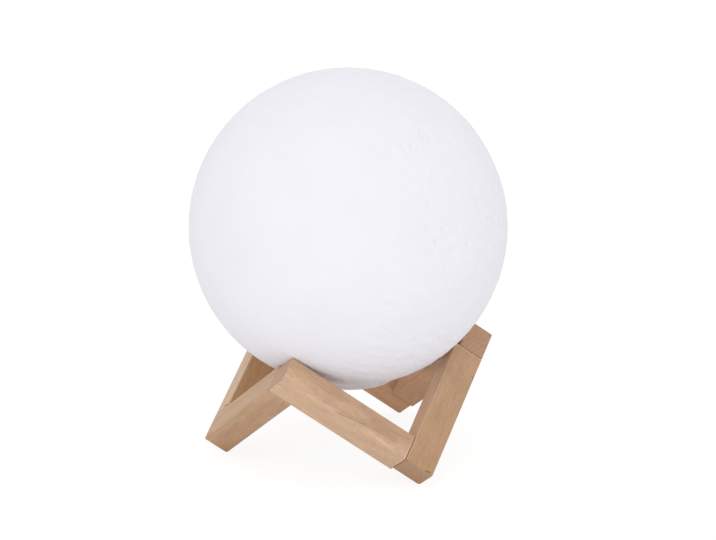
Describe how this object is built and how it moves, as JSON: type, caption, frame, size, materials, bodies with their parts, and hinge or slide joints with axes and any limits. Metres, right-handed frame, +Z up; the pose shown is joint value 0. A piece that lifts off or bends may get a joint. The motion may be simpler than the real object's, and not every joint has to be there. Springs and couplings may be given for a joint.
{
  "type": "moon lamp",
  "caption": "Rechargeable globe lamp with a lunar relief, resting loose in an open zigzag ring of six wooden sticks; touch ring and charge inlet underneath.",
  "frame": {"origin": "on the table, in the middle between the three feet of the stand, straight under the globe's centre", "axes": "+Z up through the globe's centre; one foot of the stand points along -X, the other two are 60 degrees either side of +X"},
  "size_m": [0.15, 0.15, 0.1852],
  "materials": {
    "beech": "sanded bare beech, fine lengthwise grain",
    "beech_dowel": "turned beech dowel",
    "printed_globe": "white translucent printed plastic with shallow crater relief",
    "housing_plastic": "white moulded plastic, fine matt texture",
    "ring_metal": "turned, brushed ring",
    "contact_bronze": "sprung bronze strip",
    "screw_steel": "zinc plated",
    "socket_steel": "drawn nickel-plated shell",
    "socket_insulator": "black moulded insulator",
    "circuit_board": "green solder mask",
    "chip_black": "black moulded package",
    "connector_nylon": "natural nylon",
    "cell_foil": "pouch foil with a taped edge",
    "foam": "soft black foam",
    "lead_insulation": "smooth red insulation",
    "led_board_white": "white mask on aluminium",
    "led_package": "yellow phosphor in a white package",
    "frosted_dome": "frosted diffuser plastic",
    "clear_lens": "clear light pipe"
  },
  "bodies": {
    "stand": {"stand_stick_1": "beech", "stand_stick_2": "beech", "stand_stick_3": "beech", "stand_stick_4": "beech", "stand_stick_5": "beech", "stand_stick_6": "beech", "stand_dowels": "beech_dowel"},
    "globe": {"moon_shell": "printed_globe", "base_housing": "housing_plastic", "housing_cap": "housing_plastic", "cap_screws": "screw_steel", "touch_ring": "ring_metal", "touch_contact": "contact_bronze", "control_board": "circuit_board", "board_screws": "screw_steel", "charge_socket": "socket_steel", "socket_tongue": "socket_insulator", "status_led": "led_package", "status_lens": "clear_lens", "control_chip": "chip_black", "charge_chip": "chip_black", "cell_connector": "connector_nylon", "battery_cell": "cell_foil", "cell_pads": "foam", "cell_leads": "lead_insulation", "led_leads": "lead_insulation", "led_board": "led_board_white", "led_board_screws": "screw_steel", "leds": "led_package", "led_dome": "frosted_dome"}
  },
  "joints": [
    {"name": "globe_lift", "type": "slide", "parent": "stand", "child": "globe", "axis": [0, 0, 1], "range_m": [0, 0.1]}
  ]
}
